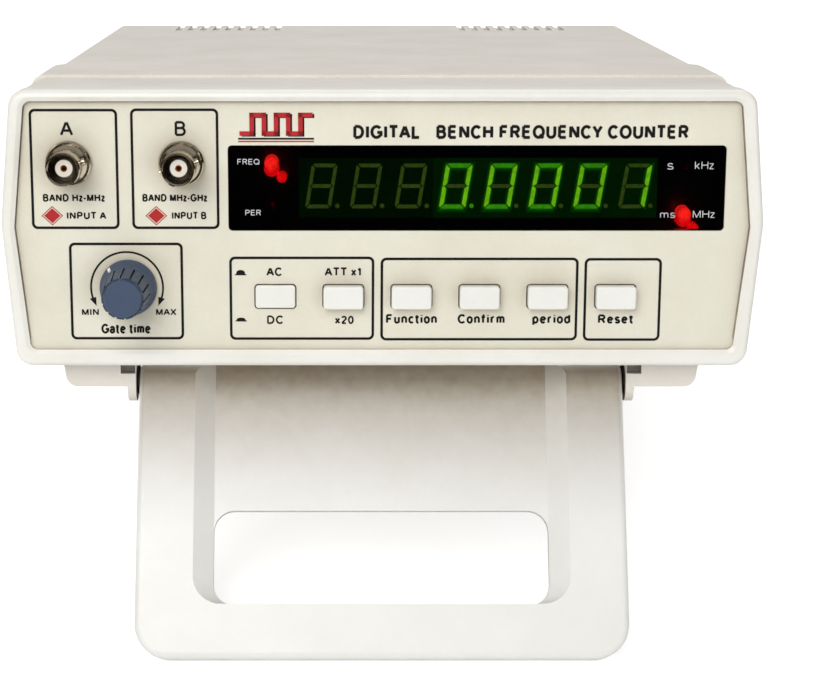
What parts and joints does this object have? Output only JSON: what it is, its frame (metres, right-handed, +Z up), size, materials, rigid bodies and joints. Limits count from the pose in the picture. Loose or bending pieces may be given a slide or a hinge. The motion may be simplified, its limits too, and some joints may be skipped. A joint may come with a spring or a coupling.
{
  "type": "bench frequency counter",
  "caption": "Bench frequency counter in a two-shell plastic case with digital display, coaxial input jacks, gate-time knob and push buttons, tipped back on its swing-out handle.",
  "frame": {"origin": "on the bench plane, under the centre of the instrument's bounding box", "axes": "+Z up from the bench, +Y from the front panel towards the rear, +X to the right of someone facing the front panel"},
  "size_m": [0.215, 0.3216, 0.1523],
  "materials": {
    "bezel_plastic": "satin",
    "panel_plastic": "matt",
    "window_acrylic": "glossy, smoked",
    "case_plastic": "fine grain",
    "handle_plastic": "satin",
    "rear_metal": "fine grain",
    "foot_rubber": "matt",
    "screw_steel": "zinc",
    "nickel": "nickel plate",
    "white_insulator": "smooth",
    "gold_contact": "gold plate",
    "knob_plastic": "satin",
    "shaft_aluminium": "turned",
    "pot_can": "tinned",
    "button_plastic": "smooth",
    "plunger_plastic": "smooth",
    "switch_black": "smooth",
    "circuit_board": "solder mask",
    "digit_epoxy": "smooth",
    "led_red": "clear red",
    "capacitor_sleeve": "sleeve",
    "ribbon_grey": "ribbed",
    "core_steel": "laminated",
    "coil_tape": "tape",
    "fuse_glass": "clear",
    "wire_blue": "insulation"
  },
  "bodies": {
    "instrument": {"front_bezel": "bezel_plastic", "front_panel": "panel_plastic", "display_window": "window_acrylic", "top_shell": "case_plastic", "bottom_shell": "case_plastic", "rear_panel": "rear_metal", "rubber_feet": "foot_rubber", "foot_screws": "screw_steel", "case_screws": "screw_steel", "hinge_pins": "screw_steel", "friction_washers": "screw_steel", "bnc_a_body": "nickel", "bnc_a_insulator": "white_insulator", "bnc_a_contact": "gold_contact", "bnc_b_body": "nickel", "bnc_b_insulator": "white_insulator", "bnc_b_contact": "gold_contact", "bnc_nuts": "nickel", "bnc_washers": "nickel", "pot_body": "pot_can", "pot_nut": "nickel", "latching_switches": "switch_black", "momentary_switches": "switch_black", "display_board": "circuit_board", "digit_modules": "digit_epoxy", "indicator_leds": "led_red", "main_board": "circuit_board", "board_screws": "screw_steel", "ic_packages": "switch_black", "prescaler_shield": "pot_can", "crystal_oscillator": "pot_can", "filter_capacitors": "capacitor_sleeve", "heat_sink": "shaft_aluminium", "voltage_regulator": "switch_black", "ribbon_cable": "ribbon_grey", "transformer_core": "core_steel", "transformer_coil": "coil_tape", "transformer_screws": "screw_steel", "mains_inlet": "switch_black", "inlet_pins": "nickel", "power_switch": "switch_black", "mains_wires": "wire_blue"},
    "handle": {"stand_handle": "handle_plastic"},
    "gate_control": {"gate_knob": "knob_plastic", "pot_shaft": "shaft_aluminium"},
    "coupling_key": {"coupling_button": "button_plastic", "coupling_plunger": "plunger_plastic"},
    "attenuator_key": {"attenuator_button": "button_plastic", "attenuator_plunger": "plunger_plastic"},
    "function_key": {"function_button": "button_plastic", "function_plunger": "plunger_plastic"},
    "confirm_key": {"confirm_button": "button_plastic", "confirm_plunger": "plunger_plastic"},
    "period_key": {"period_button": "button_plastic", "period_plunger": "plunger_plastic"},
    "reset_key": {"reset_button": "button_plastic", "reset_plunger": "plunger_plastic"},
    "power_key": {"power_rocker": "switch_black"},
    "fuse_holder": {"fuse_drawer": "switch_black", "fuse": "fuse_glass"}
  },
  "joints": [
    {"name": "stand_hinge", "type": "hinge", "parent": "instrument", "child": "handle", "pos_m": [0, -0.10626, 0.06527], "axis": [1, 0, 0], "range_deg": [-65, 115]},
    {"name": "gate_time_turn", "type": "hinge", "parent": "instrument", "child": "gate_control", "pos_m": [-0.072, -0.11429, 0.0984], "axis": [0, 0.9687, -0.2483], "range_deg": [-105, 195]},
    {"name": "coupling_press", "type": "slide", "parent": "instrument", "child": "coupling_key", "axis": [0, 0.9687, -0.2483], "range_m": [-0.0022, 0.0005]},
    {"name": "attenuator_press", "type": "slide", "parent": "instrument", "child": "attenuator_key", "axis": [0, 0.9687, -0.2483], "range_m": [0, 0.0027]},
    {"name": "function_press", "type": "slide", "parent": "instrument", "child": "function_key", "axis": [0, 0.9687, -0.2483], "range_m": [0, 0.0015], "stiffness_N_per_m": 600},
    {"name": "confirm_press", "type": "slide", "parent": "instrument", "child": "confirm_key", "axis": [0, 0.9687, -0.2483], "range_m": [0, 0.0015], "stiffness_N_per_m": 600},
    {"name": "period_press", "type": "slide", "parent": "instrument", "child": "period_key", "axis": [0, 0.9687, -0.2483], "range_m": [0, 0.0015], "stiffness_N_per_m": 600},
    {"name": "reset_press", "type": "slide", "parent": "instrument", "child": "reset_key", "axis": [0, 0.9687, -0.2483], "range_m": [0, 0.0015], "stiffness_N_per_m": 600},
    {"name": "power_rock", "type": "hinge", "parent": "instrument", "child": "power_key", "pos_m": [0.014, 0.14333, 0.04826], "axis": [1, 0, 0], "range_deg": [-18, 0]},
    {"name": "fuse_drawer_pull", "type": "slide", "parent": "instrument", "child": "fuse_holder", "axis": [0, 0.9687, -0.2483], "range_m": [0, 0.018]}
  ]
}
